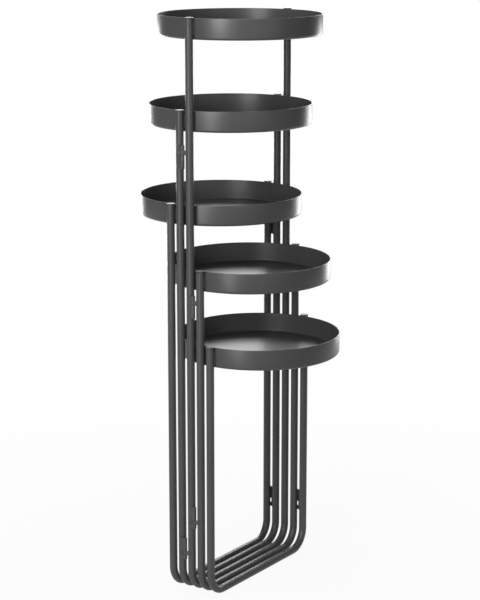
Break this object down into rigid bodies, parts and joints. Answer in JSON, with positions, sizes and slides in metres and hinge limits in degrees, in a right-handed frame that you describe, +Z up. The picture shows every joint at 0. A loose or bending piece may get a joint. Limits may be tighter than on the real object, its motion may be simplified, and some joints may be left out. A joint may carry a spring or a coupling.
{
  "type": "folding tiered plant stand",
  "caption": "Folding plant stand of hinged U-shaped tube frames standing side by side, each carrying a round shallow tray between its posts at its own height.",
  "frame": {"origin": "on the floor, at the middle of the stand's footprint, under the tallest frame", "axes": "+Z up; X along the folded frames, from the left posts to the right posts; +Y towards the back of the stack, where the third tier's frame stands, with the lowest tier's frame at the front on the -Y side"},
  "size_m": [0.2944, 0.3378, 0.9316],
  "materials": {
    "powder_coat": "satin dark grey powder coat",
    "caps": "smooth moulded",
    "pins": "satin dark grey paint"
  },
  "bodies": {
    "tier1": {"tier1_frame": "powder_coat", "tier1_tray": "powder_coat", "tier1_end_caps": "caps", "hinge_2_1_eyes": "powder_coat", "hinge_1_4_knuckles": "powder_coat", "hinge_1_4_pins": "pins"},
    "tier2": {"tier2_frame": "powder_coat", "tier2_tray": "powder_coat", "tier2_end_caps": "caps", "hinge_3_2_eyes": "powder_coat", "hinge_2_1_knuckles": "powder_coat", "hinge_2_1_pins": "pins"},
    "tier3": {"tier3_frame": "powder_coat", "tier3_tray": "powder_coat", "tier3_end_caps": "caps", "hinge_3_2_knuckles": "powder_coat", "hinge_3_2_pins": "pins"},
    "tier4": {"tier4_frame": "powder_coat", "tier4_tray": "powder_coat", "tier4_end_caps": "caps", "hinge_1_4_eyes": "powder_coat", "hinge_4_5_knuckles": "powder_coat", "hinge_4_5_pins": "pins"},
    "tier5": {"tier5_frame": "powder_coat", "tier5_tray": "powder_coat", "tier5_end_caps": "caps", "hinge_4_5_eyes": "powder_coat"}
  },
  "joints": [
    {"name": "tier2_swing", "type": "hinge", "parent": "tier1", "child": "tier2", "pos_m": [-0.14395, 0.00935, 0], "axis": [0, 0, 1], "range_deg": [0, 90]},
    {"name": "tier4_swing", "type": "hinge", "parent": "tier1", "child": "tier4", "pos_m": [-0.14395, -0.00935, 0], "axis": [0, 0, -1], "range_deg": [0, 90]},
    {"name": "tier3_swing", "type": "hinge", "parent": "tier2", "child": "tier3", "pos_m": [0.14395, 0.02805, 0], "axis": [0, 0, -1], "range_deg": [0, 160]},
    {"name": "tier5_swing", "type": "hinge", "parent": "tier4", "child": "tier5", "pos_m": [0.14395, -0.02805, 0], "axis": [0, 0, 1], "range_deg": [0, 160]}
  ]
}
